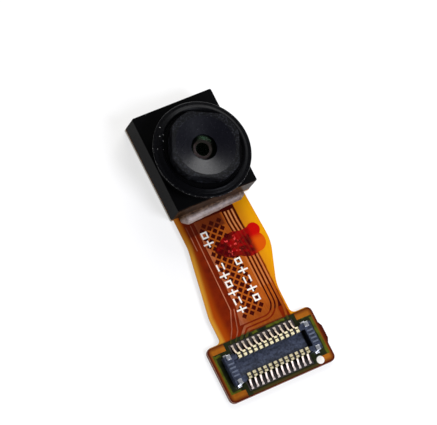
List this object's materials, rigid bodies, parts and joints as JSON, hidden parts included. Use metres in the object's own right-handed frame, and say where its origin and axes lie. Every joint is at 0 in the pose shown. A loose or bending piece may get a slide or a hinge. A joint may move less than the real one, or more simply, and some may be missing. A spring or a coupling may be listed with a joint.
{
  "type": "camera module",
  "caption": "Small fixed-focus camera head with a faceted lens barrel on a short amber flexible circuit that ends in a board-to-board connector.",
  "frame": {"origin": "lens axis where it meets the underside of the steel plate below the lens block", "axes": "+Z along the lens axis, out of the lens; the flexible circuit runs towards -Y; X across the circuit"},
  "size_m": [0.0082, 0.0195, 0.004],
  "materials": {
    "steel_plate": "brushed stainless sheet",
    "board_stiffener": "amber-brown laminate plate",
    "amber_film": "translucent amber polyimide film",
    "copper": "etched copper foil",
    "green_resist": "green solder resist",
    "black_moulding": "fine-textured black moulding",
    "black_rubber": "smooth black rubber",
    "lens_plastic": "clear optical moulding",
    "black_stop": "matt black film",
    "filter_glass": "coated glass plate",
    "silicon": "polished silicon die",
    "gold_wire": "bare gold wire",
    "capacitor_body": "fired ceramic with tinned ends",
    "connector_moulding": "dark blue-grey moulding",
    "gold_contact": "gold-plated spring strip",
    "tinned_strip": "tinned metal strip",
    "solder": "bright solder",
    "clear_glue": "cured translucent adhesive",
    "white_ink": "printed white ink",
    "red_ink": "translucent red marking ink"
  },
  "bodies": {
    "root": {"head_stiffener": "steel_plate", "connector_stiffener": "board_stiffener", "bottom_coverlay": "amber_film", "bottom_traces": "copper", "base_film": "amber_film", "signal_traces": "copper", "ground_mesh": "copper", "top_coverlay": "amber_film", "solder_mask": "green_resist", "holder_adhesive": "clear_glue", "lens_holder": "black_moulding", "sealing_ring": "black_rubber", "lens_barrel": "black_moulding", "front_lens": "lens_plastic", "aperture_stop": "black_stop", "middle_lens": "lens_plastic", "lens_spacer": "black_stop", "rear_lens": "lens_plastic", "lens_retainer": "black_stop", "infrared_filter": "filter_glass", "sensor_adhesive": "clear_glue", "image_sensor": "silicon", "bond_wires": "gold_wire", "capacitors": "capacitor_body", "connector_housing": "connector_moulding", "contacts_head_side": "gold_contact", "contacts_end_side": "gold_contact", "fixing_nails": "tinned_strip", "tail_solder": "solder", "adhesive_bead": "clear_glue", "pin_one_dot": "white_ink", "ink_marks": "white_ink", "ink_blot": "red_ink"}
  },
  "joints": []
}
